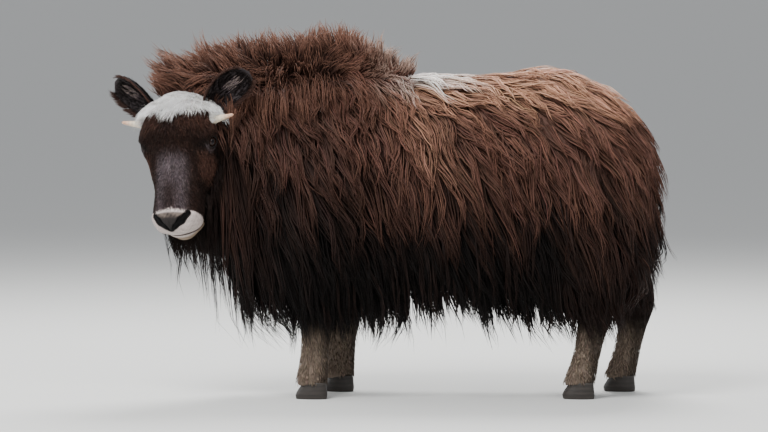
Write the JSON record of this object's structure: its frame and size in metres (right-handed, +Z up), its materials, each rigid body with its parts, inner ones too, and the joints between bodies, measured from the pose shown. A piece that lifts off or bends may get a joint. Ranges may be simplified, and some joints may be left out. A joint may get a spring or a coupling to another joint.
{
  "type": "muskox model",
  "caption": "Still life-size model of a young muskox standing with its head turned to its left.",
  "frame": {"origin": "on the floor, under the middle of the whole animal's box", "axes": "+Z up, the animal faces -X, its right side is at +Y"},
  "size_m": [1.5158, 0.537, 1.012],
  "materials": {
    "coat": "long shaggy dark brown hair, tan on the back",
    "face": "short dark brown fur",
    "stocking": "short pale grey-brown fur",
    "horn": "satin cream horn",
    "hoof": "dark hoof horn",
    "eye": "wet dark eye"
  },
  "bodies": {
    "root": {"neck": "coat", "torso": "coat", "rump": "coat", "tail": "coat", "head": "face", "left_eye": "eye", "right_eye": "eye", "left_horn": "horn", "right_horn": "horn", "left_ear": "face", "right_ear": "face", "left_foreleg": "stocking", "right_foreleg": "stocking", "left_hind_leg": "stocking", "right_hind_leg": "stocking", "left_forehoof": "hoof", "right_forehoof": "hoof", "left_hind_hoof": "hoof", "right_hind_hoof": "hoof"}
  },
  "joints": []
}
